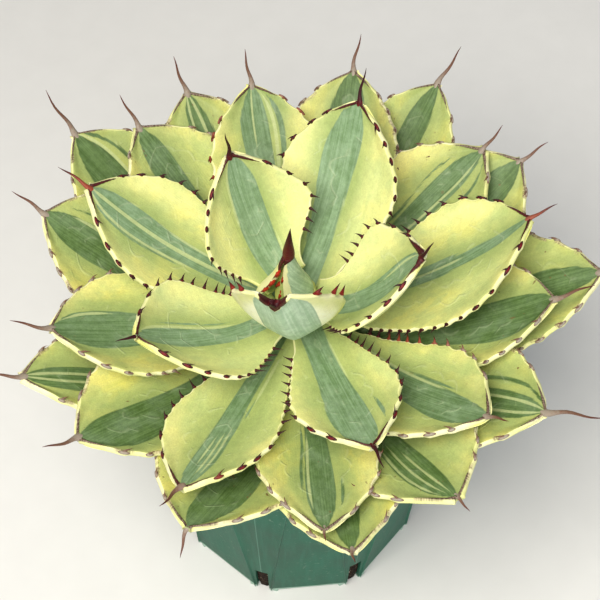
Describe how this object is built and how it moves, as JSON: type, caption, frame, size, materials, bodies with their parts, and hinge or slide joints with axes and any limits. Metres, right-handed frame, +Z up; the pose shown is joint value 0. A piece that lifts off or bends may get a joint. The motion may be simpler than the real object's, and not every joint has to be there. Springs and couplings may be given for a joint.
{
  "type": "potted crown agave",
  "caption": "Rosette succulent in a tapered slit nursery pot: broad cupped leaves with pale edges, green stripes, marginal teeth and long end spines; stands on its base.",
  "frame": {"origin": "middle of the pot's underside, on the surface it stands on", "axes": "+Z up the pot's axis, -Y towards the front, where the rosette leans"},
  "size_m": [0.278, 0.2548, 0.2668],
  "materials": {
    "pot": "satin",
    "soil": "matte",
    "stem": "matte",
    "heart": "satin",
    "leaf": "satin"
  },
  "bodies": {
    "root": {"pot": "pot", "soil": "soil", "stem": "stem", "bud": "heart", "heart_leaf": "heart", "leaf_01": "leaf", "leaf_02": "leaf", "leaf_03": "leaf", "leaf_04": "leaf", "leaf_05": "leaf", "leaf_06": "leaf", "leaf_07": "leaf", "leaf_08": "leaf", "leaf_09": "leaf", "leaf_10": "leaf", "leaf_11": "leaf", "leaf_12": "leaf", "leaf_13": "leaf", "leaf_14": "leaf", "leaf_15": "leaf", "leaf_16": "leaf", "leaf_17": "leaf", "leaf_18": "leaf", "leaf_19": "leaf", "leaf_20": "leaf", "leaf_21": "leaf", "leaf_22": "leaf", "leaf_23": "leaf", "leaf_24": "leaf", "leaf_25": "leaf", "leaf_26": "leaf", "leaf_27": "leaf", "leaf_28": "leaf", "leaf_29": "leaf"}
  },
  "joints": []
}
